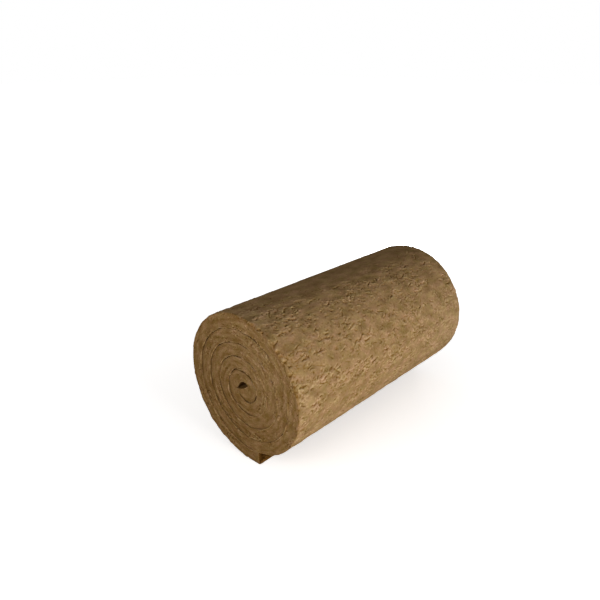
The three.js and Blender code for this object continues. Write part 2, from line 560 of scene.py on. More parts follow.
def cut_edge(length, depth, side):
    """A bulge towards the inner side, slow waves and patches, layers drawn out along the turns, and
    grain. The skin is a narrow bell curve under the inner face, made ragged by noise."""
    at = side * END_APART
    bulge = 0.0012 * depth / MAT_THICKNESS
    wave = 0.0018 * noise_at(length * 5, 0, at, seed=21, octaves=2)
    patch = 0.0024 * noise_at(length * 15, depth * 22, at, seed=25, octaves=3)
    layers = 0.0004 * noise_at(length * 26, depth * 110, at, seed=22, octaves=2)
    grain = 0.0009 * noise_at(length * 120, depth * 240, at, seed=23, octaves=2)
    noise = noise_at(length * 20, depth * 12, at, seed=24, octaves=3)
    fray = np.clip(0.55 + 2.6 * noise, 0, 1.6)
    skin = 0.0024 * np.exp(-((MAT_THICKNESS - depth - SKIN_DEPTH) / SKIN_WIDTH) ** 2)
    return bulge + wave + patch + layers + grain + fray * skin


print("the step at the near end's seams is", span(-seam_step(all_wound, 0, -1)))

# %% Torn strands
STRANDS = 9000
STRAND_WINDOW = (7, 6)  # how many grid points a strand reaches along the turn and through it
STRAND_CURL = 0.0015
TORN_TOWARDS = 50

# The middle and the spread of a strand's length, lift, ramp, dip and gap.
STRAND_SIZES = ((0.012, 0.40), (0.0020, 0.50), (0.0022, 0.25), (0.0014, 0.50), (0.0014, 0.20))


def torn_strand_places(count, length, side, rng):
    """Places all over a cut end. Few are kept, but many where noise is high, and more on
    the upper right than elsewhere."""
    low, high = (length[0], 0), (length[-1], MAT_THICKNESS)
    centre = rng.uniform(low, high, (count, 2))
    noise = noise_at(centre[:, 0] * 9, centre[:, 1] * 24, side * 9, seed=33, octaves=2)
    wound = np.interp(centre[:, 0], length, all_wound)
    upper_right = np.clip(towards(wound, TORN_TOWARDS), 0, 1) ** 2
    crowd = 0.05 + 0.15 * upper_right + (1.6 + 1.6 * upper_right) * np.clip(noise - 0.1, 0, 1)
    return centre[rng.random(count) < crowd]


def torn_strands(length, side, rng):
    """Strands 5 to 25 mm long, seven in ten of them nearly along the turns."""
    centre = torn_strand_places(STRANDS, length, side, rng)
    count = len(centre)
    spread = np.where(rng.random(count) < 0.7, 0.50, 1.2)
    warp = [0.0010 * noise_at(length[:, None] * k, EDGE_DEPTH * 200, side * 7, seed=34, octaves=1)
            for k in (60, 90)]
    turn = FULL_TURN / 4 + rng.normal(0, spread)
    sizes = [sizes_near(*size, count, rng) for size in STRAND_SIZES]
    sizes.append(rng.normal(0, STRAND_CURL, count))
    print("one cut end has", count, "torn strands")
    return stamped(length, EDGE_DEPTH, centre, turn, STRAND_WINDOW, warp, lifted_lip, sizes)


# %% Both cut ends
CORE_MIDDLE, CORE_SPREAD = WOUND_END - FULL_TURN / 2, 0.65 * FULL_TURN
CORE_CALM = 0.5  # how much smoother the wool is at the core
CORE_SUNK = 0.0022  # how far the core's inner side lies back there

core_share = bump(all_wound, CORE_MIDDLE, CORE_SPREAD)[:, None]
end_rng = np.random.default_rng(5)
end_details, end_heights = {}, {}
for side in (-1, 1):
    end_details[side] = (cut_edge(all_length[:, None], EDGE_DEPTH, side)
                         + torn_strands(all_length, side, end_rng))
    end_details[side] *= 1 - CORE_CALM * core_share
    end_details[side] -= CORE_SUNK * core_share * EDGE_DEPTH / MAT_THICKNESS
    if side < 0:
        end_details[side] += rim_bites(all_length[:, None], all_wound[:, None], EDGE_DEPTH)
    end_heights[side] = end_details[side] + seam_step(all_wound[:, None], EDGE_DEPTH, side)
print("the near end's relief is", span(end_heights[-1]))

# %% [markdown]
# The relief of the outer face
#
# The felted skin is nearly smooth in the large: swells and lumps of a millimetre or two.
# On them lie flakes and fine creases, thousands of short cracks with one lip lifted, and
# pits. They are crowded in some places and rare in others. On the crown the skin has been
# pressed smooth, and it is roughest on the right.

# %% Places on the outer face
ACROSS_POINTS = 340

# Places round the roll, each with its middle and half its width as angles wound.
CROWN = np.radians([172, 53])
KEEL = np.radians([325, 22])
FLANK = np.radians([278, 50])
UPPER_RIGHT = np.radians([236, 36])
TOP_RIGHT = np.radians([194, 24])
RIGHT = np.radians([272, 26])

face_across = np.linspace(-1, 1, ACROSS_POINTS) * (ROLL_HALF - RIM_CORNER)
face_length = all_length[:piece_ends[3] + 2]
face_wound = all_wound[:piece_ends[3] + 2]
from_near, from_far = ROLL_HALF + face_across, ROLL_HALF - face_across
print("the outer face has", len(face_length), "by", ACROSS_POINTS, "points")


def zones(wound, amounts, start=0):
    """A number that changes round the roll: the start, plus a smooth hill for each place."""
    return sum((amount * bump(wound, *place) for place, amount in amounts), start)


def torn_share(length, across):
    """How torn the skin is, from hardly at all to fully: patches longer along the roll, more
    of them on the upper right, and most where that meets the near end."""
    patches = 1.6 * noise_at(length * 20, 3, across * 9, seed=15, octaves=3)
    wound = np.interp(length, face_length, face_wound)
    upper_right = bump(wound, *UPPER_RIGHT)
    beside_rim = np.exp(-(ROLL_HALF + across) / 0.06)
    return np.clip(0.54 + patches + 0.5 * beside_rim * upper_right, 0.18, 1)


def crown_share(length, across):
    """How far the skin has been pressed smooth: fully on the crown, and less towards the near
    end. Its border is uneven, because noise moves the place that is asked."""
    moved = 0.30 * noise_at(length * 4, 7, across * 5, seed=18, octaves=2)
    from_end = np.clip((ROLL_HALF + across) / 0.30, 0.30, 1)
    return from_end * bump(np.interp(length, face_length, face_wound) + moved, *CROWN)


# %% Swells, lumps, flakes and creases
def bark(length, across):
    """Swells 100 mm long and lumps of 30 mm. Then, where the skin is torn, flakes: a noise
    drawn out along the roll and pushed towards its two ends, so that there are flat places
    with steps between them. And creases: how far a noise is from zero, so that its valleys
    are sharp."""
    swell = 0.0006 * noise_at(length * 9, 0, across * 6, seed=11, octaves=2)
    lumps = 0.0028 * noise_at(length * 30, 0, across * 20, seed=12, octaves=2)
    torn = torn_share(length, across)
    bent = 0.40 * noise_at(length * 45, 5, across * 45, seed=13, octaves=2)
    flaked = noise_at(length * 66 + bent, 0, across * 40 + bent, seed=17, octaves=3)
    flakes = 0.0009 * torn * np.tanh(7 * (flaked - 0.10))
    creased = np.abs(noise_at(length * 72 + bent, 9, across * 44 - bent, seed=14, octaves=3))
    creases = 0.0012 * torn * np.sqrt(np.clip(creased, 0, 1))
    grain = 0.0003 * noise_at(length * 190, 0, across * 150, seed=16, octaves=1)
    return swell + lumps + flakes + creases + grain


bark_relief = bark(face_length[:, None], face_across)
print("swells, lumps, flakes and creases are", span(bark_relief))

# %% Cracks, pits and tufts
LONG_CRACKS = dict(count=4400, length=0.022, lift=0.0014, dip=0.0022, gap=0.0019)
SHORT_CRACKS = dict(count=19000, length=0.011, lift=0.0009, dip=0.0012, gap=0.0014)
CRACK_LEAN = -0.10  # from straight along the roll, as an angle
CRACK_CURL = 0.0022
RAMP_TO_GAP = 2.2
PITS_AND_TUFTS = 8000
CRACK_WINDOW, PIT_WINDOW = (7, 10), (4, 4)


def torn_places(count, rng):
    """Random places on the face, kept where the skin is torn, and few of them on the crown
    of the roll."""
    low, high = (face_length[0], -ROLL_HALF), (face_length[-1], ROLL_HALF)
    centre = rng.uniform(low, high, (count, 2))
    torn = torn_share(*centre.T) * (1 - 0.7 * crown_share(*centre.T))
    return centre[rng.random(count) < torn]


def cracks(count, length, lift, dip, gap, rng, warp):
    """Cracks along the roll. Three in four of them have the lip lifted that is wound less
    far. A longer crack is a little wider too."""
    centre = torn_places(count, rng)
    count = len(centre)
    size = sizes_near(1, 0.35, count, rng)
    wider = size ** 0.3
    flipped = rng.random(count) < 0.75
    turn = rng.normal(CRACK_LEAN, 0.55, count) + np.pi * flipped
    sizes = [length * size,
             sizes_near(lift, 0.55, count, rng),
             RAMP_TO_GAP * gap * wider,
             sizes_near(dip, 0.55, count, rng),
             gap * wider,
             rng.normal(0, CRACK_CURL, count)]
    print("there are", count, "cracks of about", round(1000 * length), "mm")
    return stamped(face_length, face_across, centre, turn, CRACK_WINDOW, warp, lifted_lip, sizes)


def pits_and_tufts(count, rng, warp):
    """Short furrows and as many short ridges, 5 to 16 mm long, turned every way."""
    centre = torn_places(count, rng)
    count = len(centre)
    dips = sizes_near(0.0013, 0.4, count, rng) * rng.choice([1, -1.1], count)
    turn = rng.uniform(0, np.pi, count)
    sizes = [sizes_near(0.0095, 0.3, count, rng), dips, sizes_near(0.0022, 0.2, count, rng)]
    print("there are", count, "pits and tufts")
    return stamped(face_length, face_across, centre, turn, PIT_WINDOW, warp, furrow, sizes)


# %% The whole outer face
RIM_FADE = 0.006
FAR_RIM_FADE = 0.025
HIGHEST = 0.0028
DEEPEST = 0.0042
PRESSED = 0.94  # how much of the relief is gone where the crown is smooth
ROUGHER = ((KEEL, -0.35), (FLANK, 0.28), (UPPER_RIGHT, -0.18))


def limited(heights, most):
    """Heights that bend towards a limit and never pass it: the limit times the hyperbolic
    tangent of their share of it. Where several lips pile up, they stay as thin as one."""
    return most * np.tanh(heights / most)


bark_rng = np.random.default_rng(7)
bark_warp = [0.0021 * noise_at(face_length[:, None] * 95, at, face_across * 95, seed=35, octaves=2)
             for at in (1.5, 8.5)]
bark_relief = (bark_relief + cracks(**LONG_CRACKS, rng=bark_rng, warp=bark_warp)
               + cracks(**SHORT_CRACKS, rng=bark_rng, warp=bark_warp)
               + pits_and_tufts(PITS_AND_TUFTS, bark_rng, bark_warp))
rim_share = np.clip(from_near / RIM_FADE, 0.5, 1) * np.clip(from_far / FAR_RIM_FADE, 0.1, 1)
turn_share = (zones(face_wound, ROUGHER, start=1)[:, None]
              - PRESSED * crown_share(face_length[:, None], face_across))
bark_relief = (bark_relief * rim_share * turn_share
               + rim_bites(face_length[:, None], face_wound[:, None], from_near))
bark_heights = np.where(bark_relief > 0, limited(bark_relief, HIGHEST),
                        limited(bark_relief, DEEPEST))
print("the outer face's relief is", span(bark_heights), "and its spread is",
      round(1000 * bark_heights.std(), 2), "mm")

# %% [markdown]
# Where the wool is painted dark and pale
#
# Shade falls into the bottom of a crack and torn lips catch the light, and both are painted into
# the colour: painted shade in the dips, a painted highlight on the lips. How far a point stands
# above or below the mean of its neighbours says which it is. That number goes to the material, as
# 0.5 for a point that is level with them. More goes into the same number. The skin is paler beside
# the near rim on the right and at the top, darker there on the upper right, and paler towards the
# far rim on the right. The ends carry painted light, paler on their upper right and darker on their
# lower left, as they are lit. Painted shade dulls the light that the near rim's rounded corner
# catches.

# %% Shades of the outer face
# How far the height over its neighbours paints shade into dips and a highlight onto lips.
RELIEF_RANGE = 0.0024
SHADE_REACH = 3  # grid points
DARKEST_SKIN = 0.08
# Paler beside the near rim on the right and at the top, and darker there on the upper right: places
# round the roll, and how much each adds to the shade.
NEAR_RIM_TONE = ((RIGHT, 0.11), (TOP_RIGHT, 0.16), (UPPER_RIGHT, -0.12))
NEAR_RIM_TONE_REACH = 0.09
# Paler towards the far rim on the right.
FAR_RIM_TONE = ((FLANK, 0.20),)
FAR_RIM_TONE_REACH = 0.30


def shade_of(heights):
    """Half, plus the height over the local mean as a share of twice the range."""
    return np.clip(0.5 + (heights - smoothed(heights, SHADE_REACH)) / (2 * RELIEF_RANGE), 0, 1)


near_rim_tone = zones(face_wound, NEAR_RIM_TONE)[:, None] * np.exp(-(from_near / NEAR_RIM_TONE_REACH) ** 2)
far_rim_tone = zones(face_wound, FAR_RIM_TONE)[:, None] * np.exp(-(from_far / FAR_RIM_TONE_REACH) ** 2)
bark_shade = np.clip(shade_of(bark_relief) + near_rim_tone + far_rim_tone, DARKEST_SKIN, 1)
print("the mean shade of the outer face is", round(bark_shade.mean(), 2))

# %% Shades of the cut ends
# Painted shade on the low side of each step, and a pale proud skin lip that is partly its own paler
# colour and partly a painted highlight.
STEP_SHADE = 0.3
LIP_LIT = 0.30
LIP_WIDTH = 0.0012
# Painted light on the cut ends: paler on their upper right and darker on their lower left, as they
# are lit.
END_PAINTED_LIGHT, END_PAINTED_LIGHT_TOWARDS = 0.10, 50

end_shade = {}
for side in (-1, 1):
    steps = end_heights[side] - end_details[side]
    lip = np.exp(-((MAT_THICKNESS - EDGE_DEPTH - LIP_WIDTH) / LIP_WIDTH) ** 2)
    noise = noise_at(all_length * 22, 0, side * END_APART, seed=27, octaves=3)
    uneven = np.clip(0.3 + 2.2 * noise, 0, 1)
    # Painted light: paler towards the upper right, darker towards the lower left.
    end_painted_light = END_PAINTED_LIGHT * towards(all_wound, END_PAINTED_LIGHT_TOWARDS)[:, None]
    # Painted shade on the near rim.
    rim_shaded = rim_painted_shade(all_wound[:, None], EDGE_DEPTH) * (side < 0)
    end_shade[side] = shade_of(end_details[side] + STEP_SHADE * steps)
    end_shade[side] = np.clip(
        end_shade[side] + LIP_LIT * uneven[:, None] * lip + end_painted_light - rim_shaded, 0, 1)
print("the mean shade of the near end is", round(end_shade[-1].mean(), 2))

# %% Shades inside the roll, and the colour of a fresh cut
# Painted shade inside the seams and the gap: the distance from the roll's end, and the shade there.
SEAM_LIT = ((0.007, 0.5), (0.018, 0.15))
SEAM_DARK = ((0.0012, 0.45), (0.0035, 0.06))
BORE_DARK = ((0.0015, 0.46), (0.0035, 0.30), (0.013, 0.30), (0.022, 0.34))
CUT_BLEND = 0.0030  # over which the colour changes


def by_distance(loop, stops):
    """Shades between the stops, by how far the section's points lie from the roll's end."""
    return np.interp(ROLL_HALF * (1 - np.abs(loop[:, 2])), *zip(*stops))


def seam_shade(loop):
    """Painted shade inside the seams, where the faces press together. The inner face, which stands
    proud at the steps, is level near the roll's ends and dark further in. The outer face of the
    next turn is dark at once."""
    return np.where(loop[:, 0] == 1, by_distance(loop, SEAM_LIT), by_distance(loop, SEAM_DARK))


def bore_shade(loop):
    """Painted shade inside the half-moon gap: dark behind its lips, and a little less so further
    in, where the light from the front falls on its bottom."""
    return by_distance(loop, BORE_DARK)


def sawn_share(where):
    """How far the wool of each address has the colour of a fresh cut: fully on the ends and
    not at all on the skin. At a rim the colour changes where the depth equals the distance
    from the end, and noise moves that place by a few millimetres, most where it is chewed."""
    length, depth, across = np.moveaxis(where, -1, 0)
    wound = np.interp(length, all_length, all_wound)
    reach = 0.0022 + 0.0110 * chewed(wound) * (across < 0)
    moved = reach * rough(where * 45, seed=19, octaves=3)
    return np.clip(0.5 + (depth - (ROLL_HALF - np.abs(across)) + moved) / CUT_BLEND, 0, 1)


print("the darkest shade is", seam_shade(inner_loop).min(), "in a seam, and",
      bore_shade(inner_loop).min(), "in the gap in the middle")

# %% [markdown]
# Carrying the section along the spiral
#
# One function places every point of the mat: it takes the two faces of the mat at a
# station, draws them back by the seam's gap, and puts the section's points between them.
# The heights are then added along each point's outward direction.

# %% Points of the mat
THINNEST = 1e-5  # so that nothing is divided by zero where the mat ends in a point
WIDEST_GAP = 1 / 4  # of the thickness, for each face
WIDEST_CORNER = 0.3  # of what is left of it


def place(wound, loop, heights):
    """Points of the mat, an array of stations by section points: the outer face, plus the
    depth times the direction to the inner face, plus the heights along the outward one."""
    outer, inner = outer_face(wound), inner_face(wound)
    through = inner - outer
    thickness = np.maximum(np.linalg.norm(through, axis=1), THINNEST)
    inwards = through / thickness[:, None]
    gap = np.where(wound < FULL_TURN, 0, np.minimum(seam_gap(wound), thickness * WIDEST_GAP))
    back_gap = np.minimum(seam_gap(wound + FULL_TURN), thickness * WIDEST_GAP)
    firm = thickness - gap - back_gap
    rims = np.where(loop[:, 2] < 0, rim_corner(wound, 1)[:, None], rim_corner(wound, 0)[:, None])
    corners = rims * (1 - loop[:, 0]) + CORNER * loop[:, 0]
    corners = np.minimum(corners, WIDEST_CORNER * firm[:, None])
    wander = (seam_wander(wound)[:, None] * (1 - loop[:, 0])
              + seam_wander(wound + FULL_TURN)[:, None] * loop[:, 0])
    depth = gap[:, None] + firm[:, None] * loop[:, 0] + corners * loop[:, 1]
    across = ROLL_HALF * loop[:, 2] + corners * loop[:, 3]
    length = np.broadcast_to(length_wound(wound)[:, None], depth.shape)
    inner_depth = depth + wander + heights * loop[:, 4]
    section_plane = outer[:, None, :] + inwards[:, None, :] * inner_depth[..., None]
    points = np.empty(depth.shape + (3,))
    points[..., 0] = AXIS[0] + section_plane[..., 0]
    points[..., 1] = across + heights * loop[:, 5]
    points[..., 2] = np.maximum(AXIS[1] + section_plane[..., 1], 0)
    return points, np.stack([length, depth, across], axis=-1)


free_end, _ = place(np.zeros(1), np.zeros((1, 6)), heights=0)
print("the middle of the free end's lower edge is at", np.round(1000 * free_end[0, 0], 1), "mm")


def gathered(rows, loop, names, face_values, ends, rest):
    """Values for each point of the section: those of the two cut ends, those of the outer
    face where they are given, and for the rest one of its own for each."""
    values = np.broadcast_to(rest, (len(rows), len(loop))).copy()
    values[:, names["near"]] = ends[-1][rows][:, ::-1]
    values[:, names["far"]] = ends[1][rows]
    if face_values is not None:
        values[:, names["face"]] = face_values[rows]
    return values


# %% [markdown]
# Making the meshes
#
# A grid of points becomes a mesh when each little square of four neighbours is listed as
# a face. The lists are cut out of a table of point numbers, so a surface can reuse the
# points along another one's border, and then the two are joined without a crack.

# %% Faces from tables of point numbers
def squares(table):
    """Each inner cell of a table of point numbers, as four corners in turn. Turned that way,
    a wall that runs along the spiral faces outwards."""
    return np.stack([table[1:, :-1], table[1:, 1:], table[:-1, 1:], table[:-1, :-1]],
                    axis=-1).reshape(-1, 4)


print("a table of 3 by 3 points has", len(squares(np.arange(9).reshape(3, 3))), "squares")


def walls(table):
    """The section carried along, closed round the section."""
    return squares(np.concatenate([table, table[:, :1]], axis=1)).tolist()


def zipped(row, other, row_places, other_places):
    """Triangles between two rows with unlike numbers of points. Each step along either
    row makes a triangle with the point that the other row has reached by then. Where the
    rows start or end at one and the same point, there is none to make."""
    row_middle = (row_places[1:] + row_places[:-1]) / 2
    other_middle = (other_places[1:] + other_places[:-1]) / 2
    reached = np.searchsorted(other_middle, row_middle)
    from_row = np.stack([row[:-1], row[1:], other[reached]], axis=1)
    reached = np.searchsorted(row_middle, other_middle, side="right")
    from_other = np.stack([other[1:], other[:-1], row[reached]], axis=1)
    triangles = np.concatenate([from_row, from_other])
    return triangles[(triangles != np.roll(triangles, 1, axis=1)).all(axis=1)]


def grid_normals(points):
    """Outward normals of a grid of points that closes round its section: the cross product
    of the differences between the neighbours in both directions, made one long."""
    along = np.gradient(points, axis=0)
    around = np.roll(points, -1, axis=1) - np.roll(points, 1, axis=1)
    normals = np.cross(along, around)
    return normals / np.maximum(np.linalg.norm(normals, axis=-1, keepdims=True), 1e-12)


# %% Objects
def new_object(name, data):
    """An object in the scene, at the origin, unturned and unscaled."""
    made = bpy.data.objects.new(name, data)
    bpy.context.scene.collection.objects.link(made)
    return made


def make_piece(name, points, faces, attributes, normals, material):
    """A mesh object from points and lists of corner numbers, with numbers kept for each
    point for the material to read: one number, or a vector of three. Normals are given for
    a part of its points, by their numbers, and the mesh works out the others."""
    mesh = bpy.data.meshes.new(name)
    mesh.from_pydata(points, [], faces)
    for key, values in attributes.items():
        kind, field = ("FLOAT", "value") if values.ndim == 1 else ("FLOAT_VECTOR", "vector")
        layer = mesh.attributes.new(key, kind, "POINT")
        layer.data.foreach_set(field, values.astype(np.float32).ravel())
    mesh.update()
    mesh.shade_smooth()
    shading = np.empty(3 * len(points))
    mesh.vertices.foreach_get("normal", shading)
    shading = shading.reshape(-1, 3)
    shading[normals[0]] = normals[1]
    mesh.normals_split_custom_set_from_vertices(shading)
    mesh.materials.append(material)
    triangles = sum(len(face) - 2 for face in faces)
    print(name, "has", len(points), "points and", triangles, "triangles")
    return new_object(name, mesh)


# %% [markdown]
# The finish of stone wool
#
# The fibres are a brown glass, spun as thin as hair and glued with a little resin. The wool is matt
# and a little mottled. Painted shade darkens it in cracks and seams, and a painted highlight makes
# torn lips pale. A fresh saw cut is a deeper, yellower brown than the skin, which has seen dust and
# light. Finer noise gives the grain that is too small for the mesh.
# The patterns are asked at the mat's address, so they follow the turns as the fibres do.

# %% The browns of stone wool
# Colours between stops, each a place from 0 to 1 and a colour.
SKIN = ((0.34, (0.205, 0.129, 0.0535)), (0.50, (0.259, 0.165, 0.0760)),
        (0.66, (0.314, 0.201, 0.0995)))
SAWN = ((0.34, (0.176, 0.098, 0.0285)), (0.50, (0.229, 0.135, 0.0525)),
        (0.66, (0.284, 0.174, 0.0785)))

# What the browns are multiplied by: for patches of another hue, for single fibres, and for the
# painted shade and painted highlight of the relief, where 0.5 is level.
HUE = ((0.36, (0.972, 1.010, 0.90)), (0.64, (1.042, 0.988, 1.06)))
FIBRES = ((0.28, (0.65, 0.52, 0.35)), (0.40, (0.96, 0.96, 0.95)),
          (0.60, (1.02, 1.02, 1.02)), (0.72, (1.30, 1.33, 1.38)))
LIGHT = ((0.00, (0.145, 0.10, 0.045)), (0.10, (0.49, 0.38, 0.20)),
         (0.30, (0.83, 0.74, 0.54)), (0.42, (0.995, 0.974, 0.935)),
         (0.58, (1.03, 1.03, 1.04)), (0.82, (1.38, 1.46, 1.62)))
SAWN_HUE, SAWN_FIBRES = 0.8, 0.55  # how much of the two the cut ends have
print("the skin's middle brown is", SKIN[1][1], "and that of a cut is", SAWN[1][1])

# How many hills of noise there are to a metre, along the mat, through it and across it.
SKIN_GRAIN = (24, 60, 17)
SAWN_GRAIN = (20, 64, 16)
HUE_GRAIN = (38, 46, 30)
FIBRE_GRAIN = (170, 480, 130)
FUZZ_GRAIN = (260, 520, 190)


# %% Nodes for the material
def new_material(name):
    """A material with nodes, its nodes and the links between them."""
    material = bpy.data.materials.new(name)
    material.use_nodes = True
    return material, material.node_tree.nodes, material.node_tree.links


stone_wool, nodes, links = new_material("stone_wool")


def attribute(name, output):
    """A number or a vector that the mesh keeps for each of its points."""
    node = nodes.new("ShaderNodeAttribute")
    node.attribute_name = name
    return node.outputs[output]


address = attribute("address", "Vector")


# %% Patterns and colours for the material
def pattern(grain, detail):
    """Noise at the mat's address, which is first stretched along its three axes."""
    stretched = nodes.new("ShaderNodeVectorMath")
    stretched.operation = "MULTIPLY"
    stretched.inputs[1].default_value = grain
    links.new(address, stretched.inputs[0])
    texture = nodes.new("ShaderNodeTexNoise")
    texture.inputs["Scale"].default_value = 1.0
    texture.inputs["Detail"].default_value = detail
    links.new(stretched.outputs[0], texture.inputs["Vector"])
    return texture.outputs["Fac"]


def ramp(factor, stops):
    """The colour that the stops give for the factor."""
    node = nodes.new("ShaderNodeValToRGB")
    while len(node.color_ramp.elements) < len(stops):
        node.color_ramp.elements.new(1.0)
    for element, (position, colour) in zip(node.color_ramp.elements, stops):
        element.position = position
        element.color = (*colour, 1)
    links.new(factor, node.inputs["Fac"])
    return node.outputs["Color"]


def mixed(kind, factor, first, second):
    """Two colours mixed by a factor, which is a number or comes from a node."""
    node = nodes.new("ShaderNodeMix")
    node.data_type = "RGBA"
    node.blend_type = kind
    if isinstance(factor, float):
        node.inputs["Factor"].default_value = factor
    else:
        links.new(factor, node.inputs["Factor"])
    links.new(first, node.inputs[6])
    links.new(second, node.inputs[7])
    return node.outputs[2]


# %% Stone wool
shader = nodes["Principled BSDF"]
shader.inputs["Roughness"].default_value = 0.93
shader.inputs["Specular IOR Level"].default_value = 0.0

fibres = ramp(pattern(FIBRE_GRAIN, 3), FIBRES)
hue = ramp(pattern(HUE_GRAIN, 2), HUE)
skin = mixed("MULTIPLY", 1.0, ramp(pattern(SKIN_GRAIN, 3), SKIN), hue)
sawn = mixed("MULTIPLY", SAWN_HUE, ramp(pattern(SAWN_GRAIN, 3), SAWN), hue)
sawn = mixed("MULTIPLY", SAWN_FIBRES, sawn, fibres)
wool = mixed("MIX", attribute("sawn", "Fac"), skin, sawn)
colour = mixed("MULTIPLY", 1.0, wool, fibres)
# The relief number paints shade into dips and a highlight onto lips.
colour = mixed("MULTIPLY", 1.0, colour, ramp(attribute("relief", "Fac"), LIGHT))
links.new(colour, shader.inputs["Base Color"])

fuzz = nodes.new("ShaderNodeBump")
fuzz.inputs["Distance"].default_value = 0.0012
fuzz.inputs["Strength"].default_value = 0.5
links.new(pattern(FUZZ_GRAIN, 4), fuzz.inputs["Height"])
links.new(fuzz.outputs["Normal"], shader.inputs["Normal"])
print("stone wool has", len(nodes), "nodes")

# %% [markdown]
# The turns
#
# Each piece is a stretch of the mat: the section carried over its stations, and closed at
# both ends with the section's own outline. Only the free end shows its cut face, so there
# the outline isn't simply filled but carries a grid with relief of its own, which reuses
# the points round it.

# %% A stretch of the mat
def stretch(number, loop, names, face_heights, face_shade):
    """Points, addresses, shades, normals and the table of point numbers of one piece. The
    normals are worked out with one station more at both ends, so that they agree with
    those of the next piece, and the light shows no line where the two meet."""
    rows = np.arange(piece_ends[number] - 1, piece_ends[number + 1] + 2)
    rows = np.clip(rows, 0, len(all_wound) - 1)
    heights = gathered(rows, loop, names, face_heights, end_heights, np.zeros(len(loop)))
    # Painted shade inside the seams and inside the gap in the middle.
    in_bore = (all_wound[rows, None] > WOUND_END - FULL_TURN) & (loop[:, 0] == 1)
    inside_shade = np.where(in_bore, bore_shade(loop), seam_shade(loop))
    shade = gathered(rows, loop, names, face_shade, end_shade, inside_shade)[1:-1]
    points, where = place(all_wound[rows], loop, heights)
    normals = grid_normals(points)[1:-1]
    table = np.arange(shade.size).reshape(shade.shape)
    return points[1:-1], where[1:-1], shade, normals, table


def finished(name, points, where, shade, normals, faces):
    """A piece of the mat with its material, and a part of the one mat."""
    where = where.reshape(-1, 3)
    # The relief number carries the painted shade and painted highlight.
    attributes = {"address": where, "relief": shade.ravel(), "sawn": sawn_share(where)}
    piece = make_piece(name, points.reshape(-1, 3), faces, attributes, normals, stone_wool)
    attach(piece, "root")
    return piece


# %% The free end and its cut face
CUT_PLACE = 3  # where the cut face takes its noise, away from that of the ends
CUT_FADE = 0.006  # from the cut face's edges, where its relief starts
# Painted shade on the free end's cut face, which lies in shade under the roll: darker towards the
# top, under the overhang, and along the edge round it.
FREE_END_PAINTED_SHADE = 0.58
FREE_EDGE_PAINTED_SHADE = 0.6 * FREE_END_PAINTED_SHADE

back_across = np.concatenate([SEAM_VIEW[3:], -SEAM_VIEW[:2:-1]])
outer_loop, outer_names = section(face_across, back_across)
points, where, shade, normals, table = stretch(0, outer_loop, outer_names, bark_heights, bark_shade)

near, face, far = outer_names["near"][::-1], outer_names["face"], outer_names["far"]
share = np.linspace(0, 1, len(face))[1:-1, None]
cut_points = points[0, near, None] * (1 - share) + points[0, far, None] * share
cut_points[..., 1] = points[0, face[1:-1], 1]
cut_depth = np.broadcast_to(where[0, near, 1][:, None], cut_points.shape[:2])
cut_where = np.stack([cut_points[..., 1] + CUT_PLACE, cut_depth,
                      np.full_like(cut_depth, ROLL_HALF)], -1)
rim = np.clip(np.minimum(cut_depth, MAT_THICKNESS - cut_depth) / CUT_FADE, 0, 1)
cut_heights = cut_edge(cut_where[..., 0], cut_depth, 0.5) * rim
cut_points[..., 0] += cut_heights
# Painted shade, more of it towards the top of the cut face.
cut_painted_shade = FREE_END_PAINTED_SHADE * (0.6 + 0.7 * (cut_depth / MAT_THICKNESS))
cut_shade = np.clip(shade_of(cut_heights) - cut_painted_shade, 0, 1)
shade[0] = np.clip(shade[0] - FREE_EDGE_PAINTED_SHADE, 0, 1)
print("the cut face has", cut_depth.size, "points, and its relief is", span(cut_heights))

# %% The foot, with the cut face joined on
cut_table = table.size + np.arange(cut_depth.size).reshape(cut_depth.shape)
cut_table = np.concatenate([table[0, near, None], cut_table, table[0, far, None]], axis=1)
cut_table = np.concatenate([table[None, 0, face], cut_table])
back = np.concatenate([[outer_names["far"][-1]], outer_names["back"], [0]])
closing = zipped(table[0, back], cut_table[-1][::-1],
                 -points[0, back, 1], -points[0, face[::-1], 1])
faces = walls(table) + squares(cut_table)[:, ::-1].tolist() + closing.tolist()
faces.append(table[-1][::-1].tolist())
foot_turn = finished(
    "outer_turn_foot",
    np.concatenate([points.reshape(-1, 3), cut_points.reshape(-1, 3)]),
    np.concatenate([where.reshape(-1, 3), cut_where.reshape(-1, 3)]),
    np.concatenate([shade.ravel(), cut_shade.ravel()]),
    (table[1:].ravel(), normals[1:].reshape(-1, 3)), faces)
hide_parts("wool_mat")

# %% The rest of the outer turn, and the inner turns
outer_turn = (outer_loop, outer_names, bark_heights, bark_shade)
inner_turns = (inner_loop, inner_names, None, None)
for number, name, kind in ((1, "outer_turn_crown", outer_turn),
                           (2, "outer_turn_flank", outer_turn),
                           (3, "middle_turns", inner_turns),
                           (4, "core_turns", inner_turns)):
    points, where, shade, normals, table = stretch(number, *kind)
    faces = walls(table) + [table[0].tolist(), table[-1][::-1].tolist()]
    finished(name, points, where, shade, (table.ravel(), normals.reshape(-1, 3)), faces)

# %% [markdown]
# Floor and background
#
# The roll lies on a plain pale floor that goes on into a white distance. The floor keeps
# the roll's shadow. For the camera, and for mirrors and glass, the floor also glows, more
# so away from the roll, and the world is white. No other ray sees that, so the white
# background puts no more light on the wool.

# %% White for the background
FLOOR_HALF = 30.0
FLOOR_WHITE = (0.93, 0.93, 0.93, 1)
GLOW_CENTRE = (0.35, -0.45, 0)
GLOW_RANGE = (0.5, 2.2, 0.55, 0.82)  # between two distances from its centre, two strengths
FILL_COLOUR, FILL_STRENGTH = (1, 0.965, 0.94, 1), 0.303


